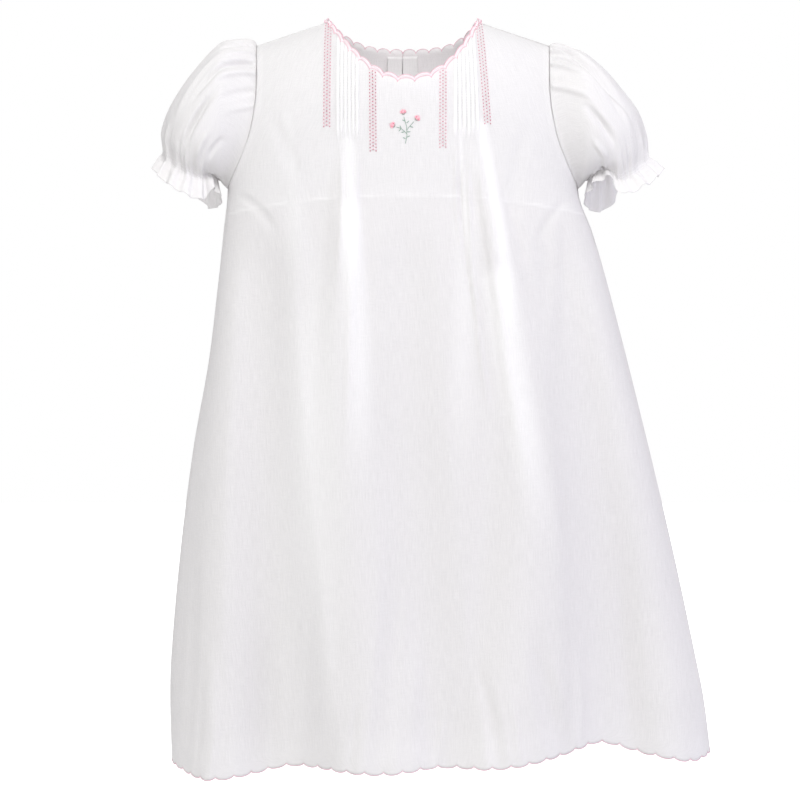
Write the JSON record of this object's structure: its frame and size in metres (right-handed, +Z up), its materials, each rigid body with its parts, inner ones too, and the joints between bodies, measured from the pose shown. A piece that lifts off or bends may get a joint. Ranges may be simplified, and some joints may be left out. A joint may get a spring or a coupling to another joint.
{
  "type": "baby daygown",
  "caption": "Newborn's A-line daygown, filled out and hollow, with short puffed sleeves, ruffled elastic cuffs, pintucks, a scalloped neck and hem, and a buttoned back placket.",
  "frame": {"origin": "midway between the two points where the neck meets the shoulder seams, where a wearer's shoulders carry the gown", "axes": "+X to the right in a front view, -Y towards the viewer out of the front panel, +Z up"},
  "size_m": [0.3789, 0.1632, 0.5083],
  "materials": {
    "cloth": "fine sheer white cotton weave, matt",
    "trim": "pink cotton openwork stitching",
    "button": "small white pearl button"
  },
  "bodies": {
    "root": {"front_panel": "cloth", "back_panel_left": "cloth", "back_panel_right": "cloth", "bodice_lining": "cloth", "sleeve_left": "cloth", "sleeve_right": "cloth", "back_placket": "cloth", "facing_left": "cloth", "facing_right": "cloth", "trim_outer_left": "trim", "trim_inner_left": "trim", "trim_inner_right": "trim", "trim_outer_right": "trim", "button_1": "button", "button_2": "button", "button_3": "button"}
  },
  "joints": []
}
